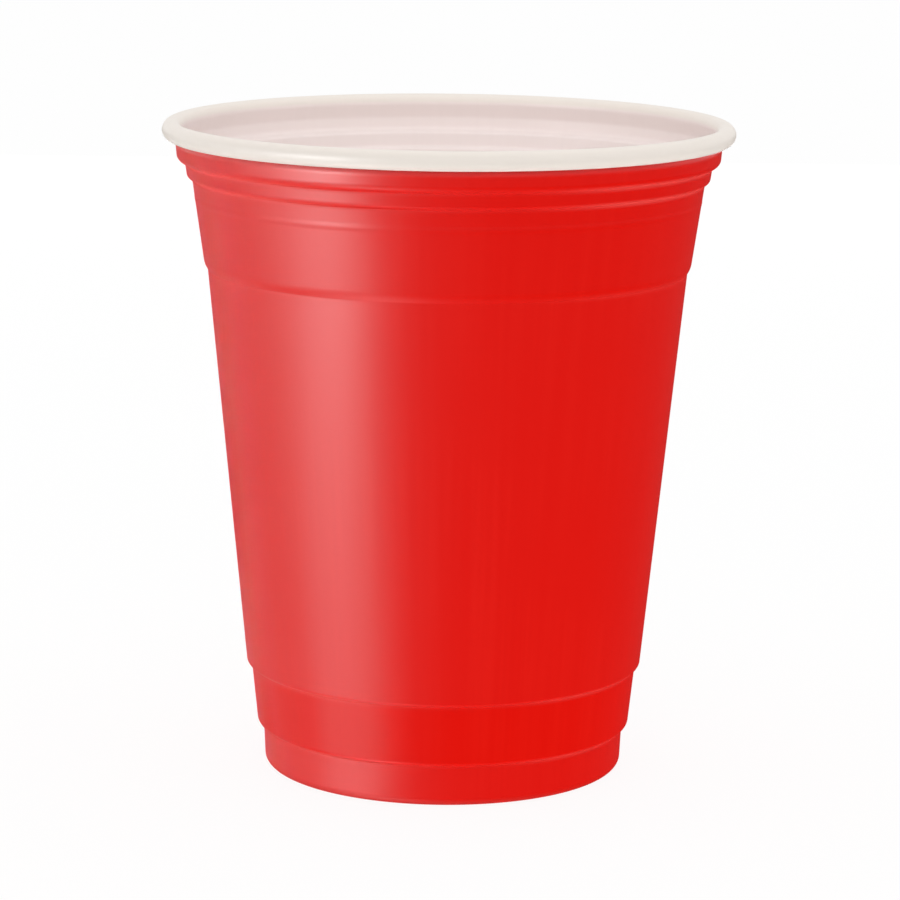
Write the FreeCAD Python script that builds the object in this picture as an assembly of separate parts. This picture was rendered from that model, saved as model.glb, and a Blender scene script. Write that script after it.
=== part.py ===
"""Plastic party cup, formed in one piece from a thin sheet that is red outside and white inside.

Millimetres. The origin is the centre of the foot on the table, and +Z runs up the cup's axis.
The whole cup is one closed section of even wall, turned about that axis.
"""

import FreeCAD, Part
import math
import os

# Overall sizes
cup_height = 109.4
rim_diameter = 95.2
foot_diameter = 60.42
wall = 0.35

# Foot and base, whose panel is raised off the table
foot_ring_width = 3.4
foot_corner_radius = 1.5
foot_wall_draft = 2.6
base_recess = 2.5
recess_lean = 25.0
recess_radius = 0.8

# Lower steps: height of each crease above the table, and how far the shoulder over it stands out
foot_step_height = 6.9
foot_step_depth = 0.97
band_step_height = 17.4
band_step_depth = 0.76
lower_band_draft = 6.0

# Upper steps: how far each crease lies below the top of the rim, and its shoulder's depth
grip_step_drop = 24.7
grip_step_depth = 0.43
ring_step_drop = 9.63
ring_step_depth = 0.78
collar_step_drop = 6.9
collar_step_depth = 1.28
upper_band_draft = 8.2
ring_draft = 8.0

# Faint ring round the upper band
faint_ring_drop = 12.9
faint_ring_width = 1.3
faint_ring_height = 0.05
faint_ring_radius = 2.5

# Form of the shoulders and creases
crease_radius = 0.25
shelf_slope = 20.0
grip_slope = 60.0
foot_shoulder_radius = 0.95
band_shoulder_radius = 0.7
grip_shoulder_radius = 3.0
ring_shoulder_radius = 0.8
collar_shoulder_radius = 1.2

# Collar under the rim, and the rim that is rolled outwards
collar_inset = 2.25
collar_top_drop = 4.0
collar_draft = 5.0
collar_top_radius = 2.0
curl_diameter = 3.16
curl_turn = 305.0

SHORTEST_EDGE = 1e-5
SMALLEST_ROUND = 0.02


def lean(degrees):
    """Distance that a wall moves outwards for each millimetre that it rises."""
    return math.tan(math.radians(degrees))


def shoulder_corner(crease, depth, slope, wall_lean):
    """Corner where the slope that rises from a crease meets the wall above it."""
    rise = math.tan(math.radians(slope))
    reach = depth / (1.0 - rise * wall_lean)
    return (crease[0] + reach, crease[1] + reach * rise)


def direction(start, end):
    """Unit vector from one point of the section to another."""
    length = math.dist(start, end)
    return ((end[0] - start[0]) / length, (end[1] - start[1]) / length)


def turned(vector, angle):
    """The vector turned anticlockwise by an angle in radians."""
    c = math.cos(angle)
    s = math.sin(angle)
    return (vector[0] * c - vector[1] * s, vector[0] * s + vector[1] * c)


def moved(point, vector, distance):
    """The point moved along a vector by a distance."""
    return (point[0] + vector[0] * distance, point[1] + vector[1] * distance)


def left_of(vector):
    """Unit vector to the left, which is the white side of the sheet on the way up the wall."""
    return (-vector[1], vector[0])


def turn_at(before, corner, after):
    """Signed angle that the section turns at a corner, positive to the left."""
    a = direction(before, corner)
    b = direction(corner, after)
    return math.atan2(a[0] * b[1] - a[1] * b[0], a[0] * b[0] + a[1] * b[1])


def white_side(points, radii, last_direction):
    """The corners and roundings of the white face, one wall to the left of the red face."""
    corners = []
    rounds = []
    for i, point in enumerate(points):
        into = direction(points[i - 1], point) if i > 0 else direction(point, points[1])
        out = direction(point, points[i + 1]) if i + 1 < len(points) else last_direction
        n_in = left_of(into)
        n_out = left_of(out)
        share = wall / (1.0 + n_in[0] * n_out[0] + n_in[1] * n_out[1])
        corners.append((point[0] + (n_in[0] + n_out[0]) * share, point[1] + (n_in[1] + n_out[1]) * share))
        turns_left = into[0] * out[1] - into[1] * out[0] > 0.0
        rounds.append(max(radii[i] - wall, SMALLEST_ROUND) if turns_left else radii[i] + wall)
    return corners, rounds


def as_vector(point):
    """A point of the section, given as radius and height, in the XZ plane."""
    return FreeCAD.Vector(point[0], 0.0, point[1])


def line(start, end):
    """A straight edge of the section."""
    return Part.LineSegment(as_vector(start), as_vector(end)).toShape()


def arc(start, middle, end):
    """A round edge of the section."""
    return Part.Arc(as_vector(start), as_vector(middle), as_vector(end)).toShape()


def rounded(points, radii):
    """Edges along the points, with an arc at each inner corner that is no larger than its sides allow."""
    count = len(points)
    setback = [0.0] * count
    for i in range(1, count - 1):
        setback[i] = radii[i] * math.tan(abs(turn_at(points[i - 1], points[i], points[i + 1])) / 2.0)
    share = [1.0] * count
    for i in range(count - 1):
        room = math.dist(points[i], points[i + 1])
        wanted = setback[i] + setback[i + 1]
        if wanted > room:
            share[i] = min(share[i], room / wanted)
            share[i + 1] = min(share[i + 1], room / wanted)

    edges = []
    here = points[0]
    for i in range(1, count - 1):
        into = direction(points[i - 1], points[i])
        out = direction(points[i], points[i + 1])
        cut = setback[i] * share[i]
        start = moved(points[i], into, -cut)
        end = moved(points[i], out, cut)
        half_turn = abs(turn_at(points[i - 1], points[i], points[i + 1])) / 2.0
        to_centre = direction((0.0, 0.0), (out[0] - into[0], out[1] - into[1]))
        sagitta = cut / math.tan(half_turn) * (1.0 / math.cos(half_turn) - 1.0)
        if math.dist(here, start) > SHORTEST_EDGE:
            edges.append(line(here, start))
        edges.append(arc(start, moved(points[i], to_centre, sagitta), end))
        here = end
    edges.append(line(here, points[-1]))
    return edges


# Foot and lower band, from the table up
foot_radius = foot_diameter / 2.0
recess_edge = foot_radius - foot_ring_width
panel_edge = recess_edge - base_recess * lean(recess_lean)
foot_crease = (foot_radius + foot_step_height * lean(foot_wall_draft), foot_step_height)
band_foot = foot_crease[0] + foot_step_depth
band_rise = band_step_height - foot_step_height
band_crease = (band_foot + band_rise * lean(lower_band_draft), band_step_height)
main_wall_foot = (band_crease[0] + band_step_depth, band_step_height)

# Collar, stacking ring and upper band, from the rim down
collar_top = (rim_diameter / 2.0 - collar_inset, cup_height - collar_top_drop)
collar_fall = collar_step_drop - collar_top_drop
collar_foot = collar_top[0] - collar_fall * lean(collar_draft)
collar_crease = (collar_foot - collar_step_depth, cup_height - collar_step_drop)
ring_fall = ring_step_drop - collar_step_drop
ring_foot = collar_crease[0] - ring_fall * lean(ring_draft)
ring_crease = (ring_foot - ring_step_depth, cup_height - ring_step_drop)
grip_fall = grip_step_drop - ring_step_drop
grip_foot = ring_crease[0] - grip_fall * lean(upper_band_draft)
grip_crease = (grip_foot - grip_step_depth, cup_height - grip_step_drop)

# The main wall runs straight between the lower and the upper steps
main_wall_rise = grip_crease[1] - main_wall_foot[1]
main_wall_lean = (grip_crease[0] - main_wall_foot[0]) / main_wall_rise

# Faint ring, standing out from the upper band
band_up = direction((grip_foot, grip_crease[1]), ring_crease)
faint_ring_z = cup_height - faint_ring_drop
faint_ring_r = ring_crease[0] - (ring_crease[1] - faint_ring_z) * lean(upper_band_draft)
faint_ring_middle = (faint_ring_r, faint_ring_z)
faint_ring_low = moved(faint_ring_middle, band_up, -faint_ring_width / 2.0)
faint_ring_top = moved(faint_ring_middle, band_up, faint_ring_width / 2.0)
faint_ring_crest = moved(faint_ring_middle, left_of(band_up), -faint_ring_height)

# Red face, from the middle of the base to the top of the collar: corner and its rounding
foot_shoulder = shoulder_corner(foot_crease, foot_step_depth, shelf_slope, lean(lower_band_draft))
band_shoulder = shoulder_corner(band_crease, band_step_depth, shelf_slope, main_wall_lean)
grip_shoulder = shoulder_corner(grip_crease, grip_step_depth, grip_slope, lean(upper_band_draft))
ring_shoulder = shoulder_corner(ring_crease, ring_step_depth, shelf_slope, lean(ring_draft))
collar_shoulder = shoulder_corner(collar_crease, collar_step_depth, shelf_slope, lean(collar_draft))
red_face = [
    ((0.0, base_recess), 0.0),
    ((panel_edge, base_recess), recess_radius),
    ((recess_edge, 0.0), recess_radius),
    ((foot_radius, 0.0), foot_corner_radius),
    (foot_crease, crease_radius),
    (foot_shoulder, foot_shoulder_radius),
    (band_crease, crease_radius),
    (band_shoulder, band_shoulder_radius),
    (grip_crease, crease_radius),
    (grip_shoulder, grip_shoulder_radius),
    (faint_ring_low, faint_ring_radius),
    (faint_ring_crest, faint_ring_radius),
    (faint_ring_top, faint_ring_radius),
    (ring_crease, crease_radius),
    (ring_shoulder, ring_shoulder_radius),
    (collar_crease, crease_radius),
    (collar_shoulder, collar_shoulder_radius),
    (collar_top, collar_top_radius),
]
red_points = [corner for corner, radius in red_face]
red_radii = [radius for corner, radius in red_face]

# The neck leaves the collar's top and meets the curl as a tangent, with the red face inside the curl
curl_radius = curl_diameter / 2.0
curl_inside = curl_radius - wall
curl_centre = (rim_diameter / 2.0 - curl_radius, cup_height - curl_radius)
neck_reach = math.dist(collar_top, curl_centre)
neck_aim = turned(direction(collar_top, curl_centre), math.asin(curl_inside / neck_reach))
neck_length = math.sqrt(neck_reach**2 - curl_inside**2)
white_points, white_radii = white_side(red_points, red_radii, neck_aim)
red_neck_end = moved(collar_top, neck_aim, neck_length)
white_neck_end = moved(red_neck_end, left_of(neck_aim), wall)


def on_curl(radius, angle_done):
    """Point of the curl at a radius, once the sheet has rolled clockwise by an angle in degrees."""
    return moved(curl_centre, turned(left_of(neck_aim), -math.radians(angle_done)), radius)


# One closed section: red face up, over the curl to its free edge, and white face down again
red_edges = rounded(red_points + [red_neck_end], red_radii + [0.0])
white_edges = rounded(white_points + [white_neck_end], white_radii + [0.0])
curl_red = arc(red_neck_end, on_curl(curl_inside, curl_turn / 2.0), on_curl(curl_inside, curl_turn))
curl_edge = line(on_curl(curl_inside, curl_turn), on_curl(curl_radius, curl_turn))
curl_white = arc(on_curl(curl_radius, curl_turn), on_curl(curl_radius, curl_turn / 2.0), white_neck_end)
middle_line = line(white_points[0], red_points[0])
outline = red_edges + [curl_red, curl_edge, curl_white] + list(reversed(white_edges)) + [middle_line]
section = Part.Face(Part.Wire(outline))

cup = section.revolve(FreeCAD.Vector(0.0, 0.0, 0.0), FreeCAD.Vector(0.0, 0.0, 1.0), 360.0)

os.makedirs("parts", exist_ok=True)
cup.exportStep("parts/cup.step")
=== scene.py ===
"""Dresses a plastic party cup: one thin sheet, red outside and white inside, with a rolled rim.

Lengths are in metres and angles in degrees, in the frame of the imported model: the origin is
the centre of the foot on the table, and +Z runs up the cup's axis. The cup's real section is
turned into one closed mesh, whose two faces get their own moulded-plastic finish.
"""

import logging
import math
from dataclasses import dataclass
from enum import Enum, IntEnum

import bmesh
import bpy
from mathutils import Matrix, Vector

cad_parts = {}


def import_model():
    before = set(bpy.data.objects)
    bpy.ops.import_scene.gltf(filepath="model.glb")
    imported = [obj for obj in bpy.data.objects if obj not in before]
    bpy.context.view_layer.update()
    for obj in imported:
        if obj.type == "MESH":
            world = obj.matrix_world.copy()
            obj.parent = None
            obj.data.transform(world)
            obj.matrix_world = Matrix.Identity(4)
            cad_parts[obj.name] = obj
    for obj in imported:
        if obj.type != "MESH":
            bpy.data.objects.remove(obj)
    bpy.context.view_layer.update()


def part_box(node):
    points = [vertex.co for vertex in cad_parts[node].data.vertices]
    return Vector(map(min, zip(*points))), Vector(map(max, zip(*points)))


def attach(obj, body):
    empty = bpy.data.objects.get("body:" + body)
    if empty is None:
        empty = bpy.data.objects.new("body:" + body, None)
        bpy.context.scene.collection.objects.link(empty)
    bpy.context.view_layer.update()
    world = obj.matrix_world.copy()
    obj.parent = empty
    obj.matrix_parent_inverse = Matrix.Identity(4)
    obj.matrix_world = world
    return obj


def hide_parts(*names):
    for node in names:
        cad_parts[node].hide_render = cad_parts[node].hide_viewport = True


LOG = logging.getLogger("party_cup")

MM = 0.001
CUP_NODE = "cup"
CUP_BODY = "root"
PHOTO_SIDE_PX = 900
SHORTEST_WALL = 1e-8
ON_AXIS = 1e-9

Colour = tuple[float, float, float]
Point = tuple[float, float]
Span = tuple[float, float]


class SheetFace(IntEnum):
    """The two faces of the sheet, in the order of the cup's material slots."""

    RED = 0
    WHITE = 1


class LampReach(Enum):
    """What a lamp does for the cup: light it evenly, or show in the plastic's shine."""

    WASH = (True, False)
    SHINE = (False, True)


@dataclass(frozen=True)
class Corner:
    """A corner of the cup's section: its distance from the axis, its height and its rounding."""

    r: float
    z: float
    rounding: float = 0.0

    @property
    def point(self) -> Point:
        """The corner's place in the section."""
        return (self.r, self.z)


@dataclass(frozen=True)
class LoopPoint:
    """A sampled point of the closed section, with the face of the sheet that it starts."""

    r: float
    z: float
    face: SheetFace


def rise_for(draft: float) -> float:
    """Gives how far a wall moves outwards for each unit that it rises.

    Args:
        draft: The wall's lean from upright, in degrees.

    Returns:
        The tangent of the draft.
    """
    return math.tan(math.radians(draft))


def aim(start: Point, end: Point) -> Point:
    """Gives the direction from one point of the section to another.

    Args:
        start: The first point.
        end: The second point.

    Returns:
        A unit vector.
    """
    length = math.dist(start, end)
    return ((end[0] - start[0]) / length, (end[1] - start[1]) / length)


def slid(point: Point, vector: Point, distance: float) -> Point:
    """Gives a point moved along a vector.

    Args:
        point: Where it starts.
        vector: A unit vector.
        distance: How far it moves.

    Returns:
        The moved point.
    """
    return (point[0] + vector[0] * distance, point[1] + vector[1] * distance)


def swung(vector: Point, angle: float) -> Point:
    """Gives a vector turned anticlockwise.

    Args:
        vector: The vector.
        angle: The turn in radians.

    Returns:
        The turned vector.
    """
    c, s = math.cos(angle), math.sin(angle)
    return (vector[0] * c - vector[1] * s, vector[0] * s + vector[1] * c)


def left_of(vector: Point) -> Point:
    """Gives the unit vector to the left, where the sheet's white face lies on the way up."""
    return (-vector[1], vector[0])


def turn_between(into: Point, out: Point) -> float:
    """Gives the signed turn between two directions, in radians and positive to the left."""
    return math.atan2(into[0] * out[1] - into[1] * out[0], into[0] * out[0] + into[1] * out[1])


@dataclass(frozen=True)
class Sampling:
    """How finely the section is sampled: arcs by their turn, straight walls by their length."""

    arc_step: float = 7.5
    curl_step: float = 7.0
    wall_step: float = 6.0 * MM
    edge_ring: float = 0.12 * MM
    segments: int = 208

    def straight(self, start: Point, end: Point) -> list[Point]:
        """Samples a straight wall, with a ring close to each end that keeps the shading crisp.

        Args:
            start: The wall's first point, which isn't returned.
            end: The wall's last point, which is returned.

        Returns:
            The points after the start, up to and with the end.
        """
        length = math.dist(start, end)
        if length < SHORTEST_WALL:
            return []
        way = aim(start, end)
        stops = [length]
        if length > 3.0 * self.edge_ring:
            inner = length - 2.0 * self.edge_ring
            count = max(1, math.ceil(inner / self.wall_step))
            stops = [self.edge_ring + inner * k / count for k in range(count + 1)] + [length]
        return [slid(start, way, stop) for stop in stops]

    def rounded(self, corners: list[Corner]) -> list[Point]:
        """Samples a chain of corners, each rounded by an arc that its two sides have room for.

        Args:
            corners: The chain, whose first and last corner stay sharp.

        Returns:
            The sampled points, from the first corner to the last.
        """
        last = len(corners) - 1
        ways = [aim(corners[i].point, corners[i + 1].point) for i in range(last)]
        turns = [0.0] + [turn_between(ways[i - 1], ways[i]) for i in range(1, last)] + [0.0]
        setbacks = [c.rounding * math.tan(abs(t) / 2.0) for c, t in zip(corners, turns)]
        shares = [1.0] * (last + 1)
        for i in range(last):
            wanted = setbacks[i] + setbacks[i + 1]
            room = math.dist(corners[i].point, corners[i + 1].point)
            if wanted > room:
                shares[i] = min(shares[i], room / wanted)
                shares[i + 1] = min(shares[i + 1], room / wanted)
        points = [corners[0].point]
        for i in range(1, last):
            cut = setbacks[i] * shares[i]
            start = slid(corners[i].point, ways[i - 1], -cut)
            points += self.straight(points[-1], start)
            radius = cut / math.tan(abs(turns[i]) / 2.0)
            side = 1.0 if turns[i] > 0.0 else -1.0
            to_centre = left_of(ways[i - 1])
            centre = slid(start, to_centre, radius * side)
            spoke = (start[0] - centre[0], start[1] - centre[1])
            count = max(2, math.ceil(abs(math.degrees(turns[i])) / self.arc_step))
            for k in range(1, count + 1):
                step = swung(spoke, turns[i] * k / count)
                points.append((centre[0] + step[0], centre[1] + step[1]))
        return points + self.straight(points[-1], corners[-1].point)


@dataclass(frozen=True)
class CupSection:
    """The section of the sheet, from the middle of the base to the free edge of the rolled rim."""

    cup_height: float
    rim_diameter: float
    foot_diameter: float = 60.42 * MM
    wall: float = 0.35 * MM
    foot_ring_width: float = 3.4 * MM
    foot_corner_radius: float = 1.5 * MM
    foot_wall_draft: float = 2.6
    base_recess: float = 2.5 * MM
    recess_lean: float = 25.0
    recess_radius: float = 0.8 * MM
    foot_step_height: float = 6.9 * MM
    foot_step_depth: float = 0.97 * MM
    band_step_height: float = 17.4 * MM
    band_step_depth: float = 0.76 * MM
    lower_band_draft: float = 6.0
    grip_step_drop: float = 24.7 * MM
    grip_step_depth: float = 0.43 * MM
    ring_step_drop: float = 9.63 * MM
    ring_step_depth: float = 0.78 * MM
    collar_step_drop: float = 6.9 * MM
    collar_step_depth: float = 1.28 * MM
    upper_band_draft: float = 8.2
    ring_draft: float = 8.0
    faint_ring_drop: float = 12.9 * MM
    faint_ring_width: float = 1.3 * MM
    faint_ring_height: float = 0.05 * MM
    faint_ring_radius: float = 2.5 * MM
    crease_radius: float = 0.25 * MM
    shelf_slope: float = 20.0
    grip_slope: float = 60.0
    foot_shoulder_radius: float = 0.95 * MM
    band_shoulder_radius: float = 0.7 * MM
    grip_shoulder_radius: float = 3.0 * MM
    ring_shoulder_radius: float = 0.8 * MM
    collar_shoulder_radius: float = 1.2 * MM
    collar_inset: float = 2.25 * MM
    collar_top_drop: float = 4.0 * MM
    collar_draft: float = 5.0
    collar_top_radius: float = 2.0 * MM
    curl_diameter: float = 3.16 * MM
    curl_turn: float = 305.0
    smallest_round: float = 0.02 * MM
    sampling: Sampling = Sampling()

    @property
    def foot_radius(self) -> float:
        """Distance from the axis to the foot wall, where it would reach the table."""
        return self.foot_diameter / 2.0

    @property
    def collar_top(self) -> Corner:
        """Top of the collar, where the sheet leans in towards the rolled rim."""
        r = self.rim_diameter / 2.0 - self.collar_inset
        return Corner(r, self.cup_height - self.collar_top_drop, self.collar_top_radius)

    @property
    def curl_radius(self) -> float:
        """Radius of the rolled rim's white outside."""
        return self.curl_diameter / 2.0

    @property
    def curl_centre(self) -> Point:
        """Middle of the rolled rim."""
        return (self.rim_diameter / 2.0 - self.curl_radius, self.cup_height - self.curl_radius)

    def step(self, crease: Corner, depth: float, slope: float, lean: float, radius: float) -> Corner:
        """Gives the shoulder that stands out over a crease.

        Args:
            crease: The crease under the shoulder.
            depth: How far the wall above stands out from the crease.
            slope: The angle at which the underside rises from level.
            lean: How far the wall above moves outwards as it rises.
            radius: The shoulder's rounding.

        Returns:
            The corner where the underside would meet the wall above.
        """
        rise = rise_for(slope)
        reach = depth / (1.0 - rise * lean)
        return Corner(crease.r + reach, crease.z + reach * rise, radius)

    def lower_part(self) -> tuple[list[Corner], Corner, float]:
        """Lays out the base, the foot and the lower band, from the table up.

        Returns:
            The corners up to the lower band's top, the crease there, and where the main wall starts.
        """
        recess_edge = self.foot_radius - self.foot_ring_width
        panel_edge = recess_edge - self.base_recess * rise_for(self.recess_lean)
        foot_rise = self.foot_step_height * rise_for(self.foot_wall_draft)
        foot_crease = Corner(self.foot_radius + foot_rise, self.foot_step_height, self.crease_radius)
        band_lean = rise_for(self.lower_band_draft)
        foot_shoulder = self.step(
            foot_crease, self.foot_step_depth, self.shelf_slope, band_lean, self.foot_shoulder_radius
        )
        band_rise = (self.band_step_height - self.foot_step_height) * band_lean
        band_top = foot_crease.r + self.foot_step_depth + band_rise
        band_crease = Corner(band_top, self.band_step_height, self.crease_radius)
        corners = [
            Corner(0.0, self.base_recess),
            Corner(panel_edge, self.base_recess, self.recess_radius),
            Corner(recess_edge, 0.0, self.recess_radius),
            Corner(self.foot_radius, 0.0, self.foot_corner_radius),
            foot_crease,
            foot_shoulder,
            band_crease,
        ]
        return corners, band_crease, band_crease.r + self.band_step_depth

    def upper_part(self) -> tuple[list[Corner], Corner]:
        """Lays out the upper band, the stacking ring and the collar, up to the collar's top.

        Returns:
            The corners from the crease under the upper band, and that crease.
        """
        top = self.collar_top
        collar_fall = (self.collar_step_drop - self.collar_top_drop) * rise_for(self.collar_draft)
        collar_r = top.r - collar_fall - self.collar_step_depth
        collar_z = self.cup_height - self.collar_step_drop
        collar_crease = Corner(collar_r, collar_z, self.crease_radius)
        ring_fall = (self.ring_step_drop - self.collar_step_drop) * rise_for(self.ring_draft)
        ring_r = collar_crease.r - ring_fall - self.ring_step_depth
        ring_crease = Corner(ring_r, self.cup_height - self.ring_step_drop, self.crease_radius)
        band_lean = rise_for(self.upper_band_draft)
        grip_fall = (self.grip_step_drop - self.ring_step_drop) * band_lean
        grip_r = ring_crease.r - grip_fall - self.grip_step_depth
        grip_crease = Corner(grip_r, self.cup_height - self.grip_step_drop, self.crease_radius)
        grip_shoulder = self.step(
            grip_crease, self.grip_step_depth, self.grip_slope, band_lean, self.grip_shoulder_radius
        )
        ring_shoulder = self.step(
            ring_crease,
            self.ring_step_depth,
            self.shelf_slope,
            rise_for(self.ring_draft),
            self.ring_shoulder_radius,
        )
        collar_shoulder = self.step(
            collar_crease,
            self.collar_step_depth,
            self.shelf_slope,
            rise_for(self.collar_draft),
            self.collar_shoulder_radius,
        )
        corners = [grip_crease, grip_shoulder, *self.faint_ring(ring_crease), ring_crease]
        return corners + [ring_shoulder, collar_crease, collar_shoulder, top], grip_crease

    def faint_ring(self, ring_crease: Corner) -> list[Corner]:
        """Lays out the faint ring that runs round the upper band.

        Args:
            ring_crease: The crease at the upper band's top.

        Returns:
            The ring's foot, crest and top.
        """
        lean = rise_for(self.upper_band_draft)
        way = aim((0.0, 0.0), (lean, 1.0))
        z = self.cup_height - self.faint_ring_drop
        middle = (ring_crease.r - (ring_crease.z - z) * lean, z)
        places = (
            slid(middle, way, -self.faint_ring_width / 2.0),
            slid(middle, left_of(way), -self.faint_ring_height),
            slid(middle, way, self.faint_ring_width / 2.0),
        )
        return [Corner(r, height, self.faint_ring_radius) for r, height in places]

    def red_corners(self) -> list[Corner]:
        """Gives the corners of the red face, from the middle of the base to the collar's top."""
        lower, band_crease, main_foot = self.lower_part()
        upper, grip_crease = self.upper_part()
        main_lean = (grip_crease.r - main_foot) / (grip_crease.z - band_crease.z)
        band_shoulder = self.step(
            band_crease, self.band_step_depth, self.shelf_slope, main_lean, self.band_shoulder_radius
        )
        return lower + [band_shoulder] + upper

    def white_corners(self, red: list[Corner], neck_way: Point) -> list[Corner]:
        """Gives the corners of the white face, one wall inside the red face.

        Args:
            red: The corners of the red face.
            neck_way: The direction in which the sheet leaves the last corner.

        Returns:
            One corner for each red one.
        """
        white = []
        for i, corner in enumerate(red):
            out = aim(corner.point, red[i + 1].point) if i + 1 < len(red) else neck_way
            into = aim(red[i - 1].point, corner.point) if i > 0 else out
            a, b = left_of(into), left_of(out)
            share = self.wall / (1.0 + a[0] * b[0] + a[1] * b[1])
            change = -self.wall if turn_between(into, out) > 0.0 else self.wall
            rounding = max(corner.rounding + change, self.smallest_round)
            r = corner.r + (a[0] + b[0]) * share
            z = corner.z + (a[1] + b[1]) * share
            white.append(Corner(r, z, rounding))
        return white

    def highlighted_creases(self) -> dict[float, float]:
        """Gives the height of each crease, with the strength of the highlight painted along it."""
        drops = {self.grip_step_drop: 0.2, self.ring_step_drop: 1.0, self.collar_step_drop: 1.0}
        upper = {self.cup_height - drop: strength for drop, strength in drops.items()}
        return {self.foot_step_height: 0.55, self.band_step_height: 0.5, **upper}

    def on_curl(self, neck_way: Point, radius: float, done: float) -> Point:
        """Gives a point of the rolled rim.

        Args:
            neck_way: The direction in which the sheet enters the roll.
            radius: The distance from the roll's middle.
            done: How far the sheet has rolled, in degrees.

        Returns:
            The point's distance from the axis and its height.
        """
        return slid(self.curl_centre, swung(left_of(neck_way), -math.radians(done)), radius)

    def loop(self) -> list[LoopPoint]:
        """Samples the whole closed section.

        Returns:
            Points along the red face and the rolled rim's inside, then back along the white face.
        """
        inside = self.curl_radius - self.wall
        start = self.collar_top.point
        reach = math.dist(start, self.curl_centre)
        neck_way = swung(aim(start, self.curl_centre), math.asin(inside / reach))
        neck_end = slid(start, neck_way, math.sqrt(reach**2 - inside**2))
        red = self.red_corners()
        white = self.white_corners(red, neck_way)
        white_neck_end = slid(neck_end, left_of(neck_way), self.wall)
        red_points = self.sampling.rounded(red + [Corner(*neck_end)])
        white_points = self.sampling.rounded(white + [Corner(*white_neck_end)])
        count = math.ceil(self.curl_turn / self.sampling.curl_step)
        rolls = [self.curl_turn * k / count for k in range(1, count + 1)]
        red_curl = [self.on_curl(neck_way, inside, done) for done in rolls]
        white_curl = [self.on_curl(neck_way, self.curl_radius, done) for done in reversed(rolls)]
        red_side = [LoopPoint(r, z, SheetFace.RED) for r, z in red_points + red_curl]
        white_side = [LoopPoint(r, z, SheetFace.WHITE) for r, z in white_curl + white_points[::-1]]
        return red_side + white_side


class NodeDesk:
    """Lays out and joins the nodes of one material or node group."""

    # A Mix node has same-named sockets for every data type, so its colour ones go by their place
    mix_factor = 0
    mix_first = 6
    mix_second = 7
    mix_result = 2

    def __init__(self, tree: bpy.types.NodeTree) -> None:
        """Starts on a node tree.

        Args:
            tree: The tree that the nodes go in.
        """
        self.tree = tree

    def add(
        self, kind: str, inputs: dict[str | int, object] | None = None, **options: object
    ) -> bpy.types.Node:
        """Adds a node.

        Args:
            kind: The node's Blender type.
            inputs: Values or output sockets for the node's inputs, by name or place.
            **options: Properties of the node.

        Returns:
            The new node.
        """
        node = self.tree.nodes.new(kind)
        for name, value in options.items():
            setattr(node, name, value)
        for name, value in (inputs or {}).items():
            self.feed(node.inputs[name], value)
        return node

    def feed(self, socket: bpy.types.NodeSocket, value: object) -> None:
        """Links an output to a socket, or sets the socket's own value.

        Args:
            socket: The input socket.
            value: An output socket or a plain value.
        """
        if isinstance(value, bpy.types.NodeSocket):
            self.tree.links.new(value, socket)
        else:
            socket.default_value = value

    def maths(
        self, operation: str, a: object, b: object = 0.0, clamp: bool = False
    ) -> bpy.types.NodeSocket:
        """Adds a Math node.

        Args:
            operation: The node's operation.
            a: The first value or socket.
            b: The second value or socket.
            clamp: Whether the result is kept between 0 and 1.

        Returns:
            The node's output.
        """
        node = self.add("ShaderNodeMath", operation=operation, use_clamp=clamp)
        self.feed(node.inputs[0], a)
        self.feed(node.inputs[1], b)
        return node.outputs[0]

    def vector(self, operation: str, a: object, b: object) -> bpy.types.NodeSocket:
        """Adds a Vector Math node.

        Args:
            operation: The node's operation.
            a: The first vector or socket.
            b: The second vector or socket.

        Returns:
            The node's vector output.
        """
        node = self.add("ShaderNodeVectorMath", operation=operation)
        self.feed(node.inputs[0], a)
        self.feed(node.inputs[1], b)
        return node.outputs["Vector"]

    def ramp(
        self, value: object, low: object, high: object, start: float = 0.0, end: float = 1.0
    ) -> bpy.types.NodeSocket:
        """Maps a value smoothly from one range to another.

        Args:
            value: The value or socket.
            low: The value that gives start.
            high: The value that gives end.
            start: The result at and beyond low.
            end: The result at and beyond high.

        Returns:
            The mapped value's socket.
        """
        inputs = {"Value": value, "From Min": low, "From Max": high, "To Min": start, "To Max": end}
        node = self.add("ShaderNodeMapRange", inputs, interpolation_type="SMOOTHSTEP")
        return node.outputs["Result"]

    def noise(
        self, vector: object, scale: object, detail: float, roughness: float = 0.5
    ) -> bpy.types.NodeSocket:
        """Adds a Noise Texture.

        Args:
            vector: The socket with the texture's coordinates.
            scale: The pattern's scale.
            detail: The number of octaves.
            roughness: How strong the finer octaves are.

        Returns:
            The noise's value socket.
        """
        inputs = {"Vector": vector, "Scale": scale, "Detail": detail, "Roughness": roughness}
        return self.add("ShaderNodeTexNoise", inputs).outputs["Fac"]

    def blend(self, factor: object, a: object, b: object) -> bpy.types.NodeSocket:
        """Mixes two colours.

        Args:
            factor: The share of the second colour.
            a: The first colour or socket.
            b: The second colour or socket.

        Returns:
            The mixed colour's socket.
        """
        node = self.add("ShaderNodeMix", data_type="RGBA")
        self.feed(node.inputs[self.mix_factor], factor)
        self.feed(node.inputs[self.mix_first], a)
        self.feed(node.inputs[self.mix_second], b)
        return node.outputs[self.mix_result]

    def place(self) -> bpy.types.NodeSocket:
        """Gives the point's place on the cup, in metres."""
        return self.add("ShaderNodeTexCoord").outputs["Object"]


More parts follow.
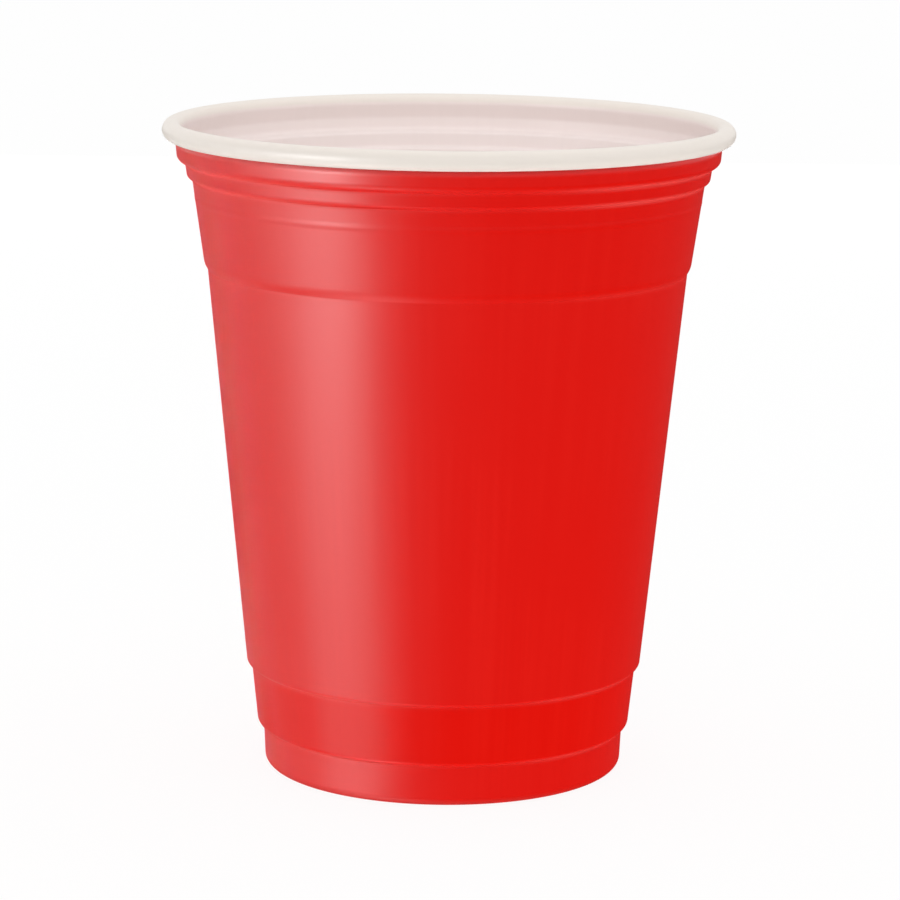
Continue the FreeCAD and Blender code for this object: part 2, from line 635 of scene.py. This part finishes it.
class PlasticEffect:
    """A shader node group that the finishes of the sheet's faces place."""

    title = "plastic_effect"
    inputs: dict[str, float] = {}
    output = "Mask"

    def __init__(self) -> None:
        """Makes the group's sockets and nodes."""
        self.tree = bpy.data.node_groups.new(self.title, "ShaderNodeTree")
        for name, value in self.inputs.items():
            socket = self.tree.interface.new_socket(
                name, in_out="INPUT", socket_type="NodeSocketFloat"
            )
            socket.default_value = value
        self.tree.interface.new_socket(
            self.output, in_out="OUTPUT", socket_type="NodeSocketFloat"
        )
        desk = NodeDesk(self.tree)
        entry = desk.add("NodeGroupInput")
        result = self.lay_out(desk, entry)
        desk.add("NodeGroupOutput", {self.output: result})

    def lay_out(self, desk: NodeDesk, entry: bpy.types.Node) -> bpy.types.NodeSocket:
        """Builds the effect's nodes.

        Args:
            desk: The desk of the group's tree.
            entry: The group's input node.

        Returns:
            The socket that the group puts out.
        """
        raise NotImplementedError

    def placed(self, desk: NodeDesk, **values: float) -> bpy.types.NodeSocket:
        """Places the group in a material.

        Args:
            desk: The desk of the material's tree.
            **values: The group's inputs by name, with underscores for spaces.

        Returns:
            The group's output socket.
        """
        named = {name.replace("_", " "): value for name, value in values.items()}
        return desk.add("ShaderNodeGroup", named, node_tree=self.tree).outputs[self.output]


class SheetGrain(PlasticEffect):
    """The fine uneven skin of a sheet that was drawn hot: fine grain over a broader swell."""

    fine_detail = 3.0
    swell_scale = 260.0
    swell_detail = 2.0
    title = "sheet_grain"
    inputs = {"Grains per Metre": 2200.0, "Softness": 0.5}
    output = "Height"

    def lay_out(self, desk: NodeDesk, entry: bpy.types.Node) -> bpy.types.NodeSocket:
        """Mixes fine grain with a broader swell.

        Args:
            desk: The desk of the group's tree.
            entry: The group's input node.

        Returns:
            The height's socket.
        """
        place = desk.place()
        fine = desk.noise(place, entry.outputs["Grains per Metre"], self.fine_detail)
        broad = desk.noise(place, self.swell_scale, self.swell_detail)
        kept = desk.maths("SUBTRACT", 1.0, entry.outputs["Softness"])
        return desk.maths(
            "ADD",
            desk.maths("MULTIPLY", fine, kept),
            desk.maths("MULTIPLY", broad, entry.outputs["Softness"]),
        )


class DrawMarks(PlasticEffect):
    """Faint streaks that run up the wall, left where the sheet stretched over the mould."""

    streak_detail = 4.0
    streak_roughness = 0.6
    title = "draw_marks"
    inputs = {"Streaks": 26.0, "Run": 22.0}

    def lay_out(self, desk: NodeDesk, entry: bpy.types.Node) -> bpy.types.NodeSocket:
        """Takes noise on the direction from the axis, stretched along the height.

        Args:
            desk: The desk of the group's tree.
            entry: The group's input node.

        Returns:
            The streak mask's socket.
        """
        parts = desk.add("ShaderNodeSeparateXYZ", {"Vector": desk.place()})
        flat = desk.add("ShaderNodeCombineXYZ", {"X": parts.outputs["X"], "Y": parts.outputs["Y"]})
        outward = desk.vector("NORMALIZE", flat.outputs["Vector"], (0.0, 0.0, 0.0))
        around = desk.add("ShaderNodeVectorMath", {"Vector": outward}, operation="SCALE")
        desk.feed(around.inputs["Scale"], entry.outputs["Streaks"])
        height = desk.maths("MULTIPLY", parts.outputs["Z"], entry.outputs["Run"])
        lifted = desk.add("ShaderNodeCombineXYZ", {"Z": height})
        place = desk.vector("ADD", around.outputs["Vector"], lifted.outputs["Vector"])
        return desk.noise(place, 1.0, self.streak_detail, self.streak_roughness)


class HairScratches(PlasticEffect):
    """Sparse hair-thin scratches from nesting and unpacking, in two slanting directions."""

    slants_and_runs = ((0.35, 95.0), (-0.5, 130.0))
    hairs_per_metre = 5200.0
    contrast = 9.0
    title = "hair_scratches"
    inputs = {"Threshold": 0.66}

    def lay_out(self, desk: NodeDesk, entry: bpy.types.Node) -> bpy.types.NodeSocket:
        """Keeps the crests of noise that is stretched along each scratch direction.

        Args:
            desk: The desk of the group's tree.
            entry: The group's input node.

        Returns:
            The scratch mask's socket.
        """
        lines = []
        for slant, run in self.slants_and_runs:
            stretch = (self.hairs_per_metre, self.hairs_per_metre, run)
            turn = (slant, slant / 2.0, 0.0)
            turned = desk.add(
                "ShaderNodeMapping", {"Vector": desk.place(), "Rotation": turn, "Scale": stretch}
            )
            value = desk.noise(turned.outputs["Vector"], 1.0, 1.0)
            above = desk.maths("SUBTRACT", value, entry.outputs["Threshold"])
            lines.append(desk.maths("MULTIPLY", above, self.contrast, clamp=True))
        return desk.maths("MAXIMUM", lines[0], lines[1])


class RubBand(PlasticEffect):
    """A broken ring of rubbing at one height, where the cup meets the table."""

    break_scale = 420.0
    break_detail = 5.0
    break_roughness = 0.7
    break_range = (0.42, 0.62)
    title = "rub_band"
    inputs = {"Height": 0.0, "Reach": 0.001}

    def lay_out(self, desk: NodeDesk, entry: bpy.types.Node) -> bpy.types.NodeSocket:
        """Fades with the distance from the height, and breaks the band up with noise.

        Args:
            desk: The desk of the group's tree.
            entry: The group's input node.

        Returns:
            The rub mask's socket.
        """
        place = desk.place()
        z = desk.add("ShaderNodeSeparateXYZ", {"Vector": place}).outputs["Z"]
        away = desk.maths("ABSOLUTE", desk.maths("SUBTRACT", z, entry.outputs["Height"]))
        share = desk.maths("DIVIDE", away, entry.outputs["Reach"])
        near = desk.maths("SUBTRACT", 1.0, share, clamp=True)
        patches = desk.noise(place, self.break_scale, self.break_detail, self.break_roughness)
        return desk.maths("MULTIPLY", near, desk.ramp(patches, *self.break_range))


class PaintedLightLine(PlasticEffect):
    """A soft line at one height, which masks the painted highlights along the creases and the painted
    shadow at the foot's edge.
    """

    title = "painted_light_line"
    inputs = {"Height": 0.0, "Reach": 0.0005}

    def lay_out(self, desk: NodeDesk, entry: bpy.types.Node) -> bpy.types.NodeSocket:
        """Fades smoothly with the distance from the height.

        Args:
            desk: The desk of the group's tree.
            entry: The group's input node.

        Returns:
            The line mask's socket.
        """
        z = desk.add("ShaderNodeSeparateXYZ", {"Vector": desk.place()}).outputs["Z"]
        away = desk.maths("ABSOLUTE", desk.maths("SUBTRACT", z, entry.outputs["Height"]))
        return desk.ramp(away, 0.0, entry.outputs["Reach"], 1.0, 0.0)


@dataclass(frozen=True)
class SheetEffects:
    """The effects that the finishes place, each built once."""

    grain: SheetGrain
    draw_marks: DrawMarks
    scratches: HairScratches
    rub: RubBand
    painted_light_line: PaintedLightLine


def opaque(colour: Colour) -> tuple[float, float, float, float]:
    """Gives a colour with full cover, as colour sockets take it."""
    return (*colour, 1.0)


@dataclass(frozen=True)
class SheetFinish:
    """What the finishes of both faces share: draw marks, scratches and a fine grain."""

    name: str
    roughness: float
    roughness_swing: float
    ior: float
    cloud_scale: float
    streaks: float
    streak_run: float
    streak_range: Span
    scratch_threshold: float
    scratch_roughness: float
    scratch_depth: float
    grains_per_metre: float
    grain_softness: float
    grain_height: float
    cloud_detail: float
    cloud_roughness: float

    def begin(self) -> tuple[bpy.types.Material, NodeDesk, bpy.types.Node]:
        """Starts the material.

        Returns:
            The material, the desk of its tree, and its shader.
        """
        material = bpy.data.materials.new(self.name)
        material.use_nodes = True
        shader = material.node_tree.nodes["Principled BSDF"]
        shader.inputs["IOR"].default_value = self.ior
        return material, NodeDesk(material.node_tree), shader

    def clouds(self, desk: NodeDesk) -> bpy.types.NodeSocket:
        """Gives the broad unevenness of the sheet, as a value round a half."""
        return desk.noise(desk.place(), self.cloud_scale, self.cloud_detail, self.cloud_roughness)

    def marks(self, desk: NodeDesk, effects: SheetEffects) -> bpy.types.NodeSocket:
        """Gives the mask of the streaks that run up the wall."""
        streaks = effects.draw_marks.placed(desk, Streaks=self.streaks, Run=self.streak_run)
        return desk.ramp(streaks, *self.streak_range)

    def streaked_roughness(self, desk: NodeDesk, marks: object) -> bpy.types.NodeSocket:
        """Gives the roughness with its swing from streak to streak."""
        swing = desk.maths("MULTIPLY", desk.maths("SUBTRACT", marks, 0.5), self.roughness_swing)
        return desk.maths("ADD", swing, self.roughness)

    def skin(
        self, desk: NodeDesk, shader: bpy.types.Node, effects: SheetEffects, rough: object
    ) -> None:
        """Feeds the shader the roughness with its scratches, and the relief of the grain.

        Args:
            desk: The desk of the material's tree.
            shader: The material's shader.
            effects: The shared effects.
            rough: The roughness without scratches.
        """
        scratches = effects.scratches.placed(desk, Threshold=self.scratch_threshold)
        scuffs = desk.maths("MULTIPLY", scratches, self.scratch_roughness)
        desk.feed(shader.inputs["Roughness"], desk.maths("ADD", rough, scuffs))
        grain = effects.grain.placed(
            desk, Grains_per_Metre=self.grains_per_metre, Softness=self.grain_softness
        )
        cuts = desk.maths("MULTIPLY", scratches, self.scratch_depth)
        relief = desk.maths("SUBTRACT", grain, cuts)
        bump = desk.add(
            "ShaderNodeBump", {"Height": relief, "Strength": 1.0, "Distance": self.grain_height}
        )
        desk.feed(shader.inputs["Normal"], bump.outputs["Normal"])


@dataclass(frozen=True)
class RedFinish(SheetFinish):
    """The semi-gloss red face outside, with painted highlights along the creases, a painted sheen where
    the wall turns away from view, and a painted shadow at the foot's edge.
    """

    name: str = "red_outside_face"
    colour: Colour = (0.735, 0.0040, 0.0008)
    thin_colour: Colour = (0.755, 0.0060, 0.0018)
    # Painted sheen: the paler red that the wall is lifted to where it turns away from view
    silhouette_sheen_colour: Colour = (0.84, 0.0050, 0.0010)
    # Painted highlight: the paler, pinker red laid along the creases
    crease_highlight_colour: Colour = (0.80, 0.062, 0.053)
    # Painted shadow: the darker red at the foot's edge, where the cup meets the table
    foot_shadow_colour: Colour = (0.46, 0.014, 0.010)
    roughness: float = 0.37
    roughness_swing: float = 0.03
    ior: float = 1.5
    body_shine: float = 0.34
    skin_gloss: float = 0.32
    cloud_scale: float = 38.0
    cloud_detail: float = 3.0
    cloud_roughness: float = 0.55
    cloud_range: Span = (0.3, 0.7)
    streaks: float = 30.0
    streak_run: float = 16.0
    streak_range: Span = (0.35, 0.7)
    silhouette_sheen_range: Span = (0.45, 1.0)
    crease_lift: float = 0.05 * MM
    crease_reach: float = 0.75 * MM
    crease_roughness: float = 0.3
    # How the painted crease highlights grow as the wall turns away from view
    highlight_slant_range: Span = (0.01, 0.3)
    band_bottom: Span = (6.5 * MM, 7.5 * MM)
    band_top: Span = (16.5 * MM, 18.0 * MM)
    band_smoothness: float = 0.05
    foot_shade: float = 0.9
    foot_shade_reach: float = 1.6 * MM
    foot_rub_reach: float = 0.9 * MM
    foot_rub_roughness: float = 0.25
    scratch_threshold: float = 0.70
    scratch_roughness: float = 0.12
    scratch_depth: float = 0.25
    grains_per_metre: float = 2400.0
    grain_softness: float = 0.55
    grain_height: float = 0.0035 * MM

    def material(self, effects: SheetEffects, creases: dict[float, float]) -> bpy.types.Material:
        """Makes the material.

        Args:
            effects: The shared effects.
            creases: The height of each crease, with the strength of the highlight painted along it.

        Returns:
            The finished material.
        """
        material, desk, shader = self.begin()
        marks = self.marks(desk, effects)
        # Painted highlights along the creases, which show most where the wall turns away from view
        crease_highlight = self.crease_highlight_mask(desk, effects, creases)
        # Painted shadow: a mask that darkens the red at the foot's edge, where the cup meets the table
        shade = effects.painted_light_line.placed(desk, Height=0.0, Reach=self.foot_shade_reach)
        desk.feed(shader.inputs["Base Color"], self.tint(desk, marks, crease_highlight, shade))
        matt = desk.maths("MAXIMUM", crease_highlight, shade)
        band = self.lower_band(desk)
        glossy = desk.maths("SUBTRACT", 1.0, desk.maths("MAXIMUM", band, matt))
        desk.feed(shader.inputs["Coat Weight"], desk.maths("MULTIPLY", glossy, self.skin_gloss))
        shader.inputs["Coat Roughness"].default_value = self.roughness
        shader.inputs["Coat IOR"].default_value = self.ior
        shader.inputs["Specular IOR Level"].default_value = self.body_shine
        rough = self.streaked_roughness(desk, marks)
        smoother = desk.maths("MULTIPLY", band, self.band_smoothness)
        rougher = desk.maths("MULTIPLY", matt, self.crease_roughness)
        rough = desk.maths("ADD", desk.maths("SUBTRACT", rough, smoother), rougher)
        rub = effects.rub.placed(desk, Height=0.0, Reach=self.foot_rub_reach)
        worn = desk.maths("ADD", rough, desk.maths("MULTIPLY", rub, self.foot_rub_roughness))
        self.skin(desk, shader, effects, worn)
        return material

    def crease_highlight_mask(
        self, desk: NodeDesk, effects: SheetEffects, creases: dict[float, float]
    ) -> bpy.types.NodeSocket:
        """Gives the mask of the painted highlights along the creases.

        Args:
            desk: The desk of the material's tree.
            effects: The shared effects.
            creases: The height of each crease, with its strength.

        Returns:
            The mask's socket.
        """
        crease_highlight = 0.0
        for height, strength in creases.items():
            line = effects.painted_light_line.placed(
                desk, Height=height + self.crease_lift, Reach=self.crease_reach
            )
            crease_highlight = desk.maths("MAXIMUM", crease_highlight, desk.maths("MULTIPLY", line, strength))
        return crease_highlight

    def tint(self, desk: NodeDesk, marks: object, crease_highlight: object, shade: object) -> bpy.types.NodeSocket:
        """Mixes the face's colour, with its painted sheen, crease highlights and foot shadow.

        Args:
            desk: The desk of the material's tree.
            marks: The streaks' mask.
            crease_highlight: The mask of the painted highlights along the creases.
            shade: The mask of the painted shadow at the foot's edge.

        Returns:
            The colour's socket.
        """
        cloud = desk.ramp(self.clouds(desk), *self.cloud_range)
        thin = desk.maths("MULTIPLY", cloud, marks)
        even = desk.blend(thin, opaque(self.colour), opaque(self.thin_colour))
        # Painted sheen: the red is lifted towards a paler red where the wall turns away from view, at
        # the cup's sides as seen
        facing = {"Blend": 0.5, "Normal": self.outward(desk)}
        slant = desk.add("ShaderNodeLayerWeight", facing).outputs["Facing"]
        base = desk.blend(desk.ramp(slant, *self.silhouette_sheen_range), even, opaque(self.silhouette_sheen_colour))
        # Painted highlight: the crease lines are mixed in most where the wall turns away from view
        seen = desk.maths("MULTIPLY", crease_highlight, desk.ramp(slant, *self.highlight_slant_range))
        creased = desk.blend(seen, base, opaque(self.crease_highlight_colour))
        # Painted shadow: the foot's edge is darkened towards a deep red
        darkened = desk.maths("MULTIPLY", shade, self.foot_shade)
        return desk.blend(darkened, creased, opaque(self.foot_shadow_colour))

    def lower_band(self, desk: NodeDesk) -> bpy.types.NodeSocket:
        """Gives the mask of the lower band, which is smoother and a little less glossy."""
        z = desk.add("ShaderNodeSeparateXYZ", {"Vector": desk.place()}).outputs["Z"]
        above = desk.ramp(z, *self.band_bottom)
        return desk.maths("MULTIPLY", above, desk.ramp(z, *self.band_top, 1.0, 0.0))

    def outward(self, desk: NodeDesk) -> bpy.types.NodeSocket:
        """Gives the level direction away from the cup's axis, in the world's axes."""
        flat = desk.vector("MULTIPLY", desk.place(), (1.0, 1.0, 0.0))
        way = desk.vector("NORMALIZE", flat, (0.0, 0.0, 0.0))
        options = {"vector_type": "NORMAL", "convert_from": "OBJECT", "convert_to": "WORLD"}
        return desk.add("ShaderNodeVectorTransform", {"Vector": way}, **options).outputs["Vector"]


@dataclass(frozen=True)
class WhiteFinish(SheetFinish):
    """The off-white face inside and round the rim: warm on the rim, and pink where it is thin."""

    name: str = "white_inside_face"
    rim_colour: Colour = (0.83, 0.765, 0.700)
    wall_colour: Colour = (0.90, 0.800, 0.775)
    scuffed_colour: Colour = (0.70, 0.60, 0.56)
    wall_to: float = 0.9 * MM
    rim_from: float = 0.3 * MM
    lip_from: float = 1.7 * MM
    lip_to: float = 0.9 * MM
    roughness: float = 0.42
    roughness_swing: float = 0.06
    ior: float = 1.5
    cloud_scale: float = 30.0
    cloud_detail: float = 3.0
    cloud_roughness: float = 0.55
    cloud_share: float = 0.35
    streaks: float = 24.0
    streak_run: float = 14.0
    streak_range: Span = (0.3, 0.75)
    streak_tint: float = 0.05
    scratch_threshold: float = 0.68
    scratch_roughness: float = 0.1
    scratch_depth: float = 0.2
    grains_per_metre: float = 1900.0
    grain_softness: float = 0.6
    grain_height: float = 0.004 * MM

    def material(self, effects: SheetEffects, crest: Point) -> bpy.types.Material:
        """Makes the material.

        Args:
            effects: The shared effects.
            crest: The crest of the rolled rim: its distance from the axis and its height.

        Returns:
            The finished material.
        """
        material, desk, shader = self.begin()
        marks = self.marks(desk, effects)
        uneven = desk.maths("SUBTRACT", self.clouds(desk), 0.5)
        uneven = desk.maths("MULTIPLY", uneven, self.cloud_share)
        share = desk.maths("ADD", self.rim(desk, crest), uneven, clamp=True)
        base = desk.blend(share, opaque(self.wall_colour), opaque(self.rim_colour))
        streaks = desk.maths("MULTIPLY", marks, self.streak_tint)
        streaked = desk.blend(streaks, base, opaque(self.scuffed_colour))
        desk.feed(shader.inputs["Base Color"], streaked)
        self.skin(desk, shader, effects, self.streaked_roughness(desk, marks))
        return material

    def rim(self, desk: NodeDesk, crest: Point) -> bpy.types.NodeSocket:
        """Gives the mask of the rolled rim, by its distance from the axis and by its height.

        Args:
            desk: The desk of the material's tree.
            crest: The crest of the rolled rim: its distance from the axis and its height.

        Returns:
            The mask's socket.
        """
        parts = desk.add("ShaderNodeSeparateXYZ", {"Vector": desk.place()}).outputs
        flat = desk.add("ShaderNodeCombineXYZ", {"X": parts["X"], "Y": parts["Y"]}).outputs["Vector"]
        reach = desk.add("ShaderNodeVectorMath", {"Vector": flat}, operation="LENGTH")
        roll = desk.ramp(reach.outputs["Value"], crest[0] - self.wall_to, crest[0] - self.rim_from)
        lip = desk.ramp(parts["Z"], crest[1] - self.lip_from, crest[1] - self.lip_to)
        return desk.maths("MAXIMUM", roll, lip)


@dataclass(frozen=True)
class PartyCup:
    """The cup as one closed mesh, turned from its section and dressed with its two finishes."""

    section: CupSection
    red: RedFinish = RedFinish()
    white: WhiteFinish = WhiteFinish()
    name: str = "party_cup"

    def build(self) -> bpy.types.Object:
        """Turns the section round the axis into one closed mesh.

        Returns:
            The cup's object, in the scene and not yet dressed.
        """
        loop = self.section.loop()
        count = self.section.sampling.segments
        angles = [2.0 * math.pi * k / count for k in range(count)]
        mesh = bmesh.new()
        rings = []
        for point in loop:
            places = [(0.0, 0.0, point.z)]
            if point.r > ON_AXIS:
                places = [(point.r * math.cos(a), point.r * math.sin(a), point.z) for a in angles]
            rings.append([mesh.verts.new(place) for place in places])
        for i in range(len(loop) - 1):
            here, there = rings[i], rings[i + 1]
            for k in range(count):
                n = (k + 1) % count
                if len(here) == 1:
                    corners = (here[0], there[n], there[k])
                elif len(there) == 1:
                    corners = (here[k], here[n], there[0])
                else:
                    corners = (here[k], here[n], there[n], there[k])
                face = mesh.faces.new(corners)
                face.smooth = True
                face.material_index = int(loop[i].face)
        mesh.normal_update()
        data = bpy.data.meshes.new(self.name)
        mesh.to_mesh(data)
        mesh.free()
        cup = bpy.data.objects.new(self.name, data)
        bpy.context.scene.collection.objects.link(cup)
        LOG.info("%s: %d rings of %d points", self.name, len(rings), count)
        return cup

    def dress(self, cup: bpy.types.Object, effects: SheetEffects) -> None:
        """Gives the two faces of the sheet their finishes.

        Args:
            cup: The cup's object.
            effects: The shared effects.
        """
        cup.data.materials.append(self.red.material(effects, self.section.highlighted_creases()))
        crest = (self.section.curl_centre[0], self.section.cup_height)
        cup.data.materials.append(self.white.material(effects, crest))

    def stand(self, cup: bpy.types.Object) -> None:
        """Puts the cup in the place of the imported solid.

        Args:
            cup: The cup's object.
        """
        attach(cup, CUP_BODY)
        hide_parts(CUP_NODE)


@dataclass(frozen=True)
class Softbox:
    """A soft panel that faces the cup, upright or tilted, with its distance and its heights."""

    name: str
    azimuth: float
    distance: float
    width: float
    bottom: float
    top: float
    level: float
    reach: LampReach
    tilt: float = 0.0

    def light(self) -> bpy.types.Object:
        """Makes the lamp.

        Returns:
            The lamp's object.
        """
        height = self.top - self.bottom
        data = bpy.data.lights.new(self.name, "AREA")
        data.shape = "RECTANGLE"
        data.size = self.width
        data.size_y = height
        data.energy = self.level * math.pi * self.width * height
        lamp = bpy.data.objects.new(self.name, data)
        a, t = math.radians(self.azimuth), math.radians(self.tilt)
        outward = Vector((math.sin(a), -math.cos(a), 0.0))
        middle = Vector((0.0, 0.0, (self.bottom + self.top) / 2.0))
        lamp.location = outward * self.distance + middle
        back = outward * math.cos(t) + Vector((0.0, 0.0, math.sin(t)))
        lamp.rotation_mode = "QUATERNION"
        lamp.rotation_quaternion = back.to_track_quat("Z", "Y")
        lamp.visible_camera = False
        lamp.visible_diffuse, lamp.visible_glossy = self.reach.value
        data.cycles.use_multiple_importance_sampling = False
        bpy.context.scene.collection.objects.link(lamp)
        return lamp


@dataclass(frozen=True)
class Studio:
    """A white light table that runs on as the background, soft panels round it and a dim room."""

    floor_side: float = 12.0
    floor_drop: float = 0.05 * MM
    floor_colour: Colour = (0.95, 0.95, 0.95)
    floor_lift: float = 0.9
    floor_shine: float = 0.05
    room_level: float = 0.95
    panels: tuple[Softbox, ...] = (
        Softbox("key_panel", -58.0, 0.5, 0.26, -0.10, 0.20, 5.45, LampReach.SHINE),
        Softbox("side_panel", -84.0, 0.5, 0.20, -0.10, 0.20, 1.55, LampReach.SHINE),
        Softbox("back_panel", -112.0, 0.5, 0.30, -0.10, 0.20, 0.62, LampReach.SHINE),
        Softbox("far_back_panel", -145.0, 0.5, 0.30, -0.10, 0.20, 0.25, LampReach.SHINE),
        Softbox("low_key_panel", -57.0, 0.5, 0.40, -0.40, -0.10, 1.88, LampReach.SHINE),
        Softbox("low_side_panel", -95.0, 0.5, 0.35, -0.40, -0.10, 0.52, LampReach.SHINE),
        Softbox("low_back_panel", -132.0, 0.5, 0.35, -0.40, -0.10, 0.38, LampReach.SHINE),
        Softbox("high_key_panel", -47.0, 0.5, 0.14, 0.00, 0.14, 17.5, LampReach.SHINE),
        Softbox("under_panel", 0.0, 0.0, 0.6, -0.8, -0.2, 0.15, LampReach.SHINE, -90.0),
        Softbox("under_left_panel", -64.0, 0.32, 0.26, -0.65, -0.25, 3.0, LampReach.SHINE, -90.0),
        Softbox("front_wash", 0.0, 0.9, 0.6, 0.16, 0.66, 1.81, LampReach.WASH, 19.0),
        Softbox("right_wash", 60.0, 0.9, 0.7, -0.6, 0.2, 0.81, LampReach.WASH),
        Softbox("far_right_wash", 120.0, 0.9, 0.7, -0.6, 0.2, 1.2, LampReach.WASH),
        Softbox("back_wash", 180.0, 0.9, 0.7, -0.6, 0.2, 1.0, LampReach.WASH),
        Softbox("far_left_wash", -120.0, 0.9, 0.7, -0.6, 0.2, 1.2, LampReach.WASH),
        Softbox("left_wash", -60.0, 0.9, 0.7, -0.6, 0.2, 0.53, LampReach.WASH),
        Softbox("under_table_wash", 0.0, 0.0, 1.2, -1.1, 0.1, 2.03, LampReach.WASH, -90.0),
    )

    def floor(self) -> bpy.types.Object:
        """Makes the table, which shows white and keeps a soft part of the cup's shadow.

        Returns:
            The table's object.
        """
        half = self.floor_side / 2.0
        places = [(-half, -half), (half, -half), (half, half), (-half, half)]
        data = bpy.data.meshes.new("white_table")
        data.from_pydata([(x, y, -self.floor_drop) for x, y in places], [], [(0, 1, 2, 3)])
        table = bpy.data.objects.new("white_table", data)
        table.visible_shadow = False
        bpy.context.scene.collection.objects.link(table)
        material = bpy.data.materials.new("white_table_top")
        material.use_nodes = True
        material.cycles.emission_sampling = "NONE"
        desk = NodeDesk(material.node_tree)
        desk.tree.nodes.clear()
        seen = desk.add("ShaderNodeLightPath").outputs["Is Camera Ray"]
        lit = desk.add("ShaderNodeBsdfDiffuse", {"Color": opaque(self.floor_colour)})
        glow = desk.add("ShaderNodeEmission", {"Strength": 1.0})
        bright = {0: self.floor_lift, 1: lit.outputs["BSDF"], 2: glow.outputs["Emission"]}
        white = desk.add("ShaderNodeMixShader", bright)
        dim = desk.add("ShaderNodeEmission", {"Strength": self.floor_shine})
        both = {0: seen, 1: dim.outputs["Emission"], 2: white.outputs["Shader"]}
        surface = desk.add("ShaderNodeMixShader", both)
        desk.add("ShaderNodeOutputMaterial", {"Surface": surface.outputs["Shader"]})
        table.data.materials.append(material)
        return table

    def room(self) -> None:
        """Sets the world: white to the camera, and dim for the cup."""
        world = bpy.data.worlds.new("dim_room")
        world.use_nodes = True
        bpy.context.scene.world = world
        desk = NodeDesk(world.node_tree)
        seen = desk.add("ShaderNodeLightPath").outputs["Is Camera Ray"]
        background = world.node_tree.nodes["Background"]
        background.inputs["Color"].default_value = (1.0, 1.0, 1.0, 1.0)
        level = desk.ramp(seen, 0.0, 1.0, self.room_level, 1.0)
        desk.feed(background.inputs["Strength"], level)

    def build(self) -> None:
        """Makes the table, the room and the lamps."""
        table = self.floor()
        LOG.info("table %s", table.name)
        self.room()
        for panel in self.panels:
            panel.light()
            LOG.info("lamp %s", panel.name)


@dataclass(frozen=True)
class PhotoCamera:
    """The camera at the photograph's viewing angle: in front of the cup and a little above it."""

    aim_point: tuple[float, float, float] = (0.735 * MM, 9.913 * MM, 51.790 * MM)
    distance: float = 654.12 * MM
    look_down: float = 10.856
    roll: float = 0.6415
    focal_px: float = 3817.0
    sensor: float = 36.0

    def build(self) -> bpy.types.Object:
        """Makes the camera and gives it to the scene.

        Returns:
            The camera's object.
        """
        data = bpy.data.cameras.new("photo_camera")
        data.sensor_fit = "HORIZONTAL"
        data.sensor_width = self.sensor
        data.lens = self.focal_px / PHOTO_SIDE_PX * self.sensor
        camera = bpy.data.objects.new("photo_camera", data)
        tilt = math.radians(90.0 - self.look_down)
        turn = Matrix.Rotation(tilt, 4, "X") @ Matrix.Rotation(math.radians(self.roll), 4, "Z")
        back = turn.to_3x3() @ Vector((0.0, 0.0, self.distance))
        camera.matrix_world = Matrix.Translation(Vector(self.aim_point) + back) @ turn
        bpy.context.scene.collection.objects.link(camera)
        bpy.context.scene.camera = camera
        return camera


def main() -> None:
    """Builds the cup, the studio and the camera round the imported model."""
    logging.basicConfig(level=logging.INFO, format="%(name)s: %(message)s")
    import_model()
    bpy.context.scene.view_settings.view_transform = "Standard"
    low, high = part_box(CUP_NODE)
    rim_reach = min(high.x, high.y, -low.x, -low.y)
    section = CupSection(cup_height=high.z - low.z, rim_diameter=2.0 * rim_reach)
    cup_maker = PartyCup(section)
    cup = cup_maker.build()
    effects = SheetEffects(SheetGrain(), DrawMarks(), HairScratches(), RubBand(), PaintedLightLine())
    cup_maker.dress(cup, effects)
    cup_maker.stand(cup)
    Studio().build()
    camera = PhotoCamera().build()
    LOG.info("camera %s", camera.name)


if __name__ == "__main__":
    main()
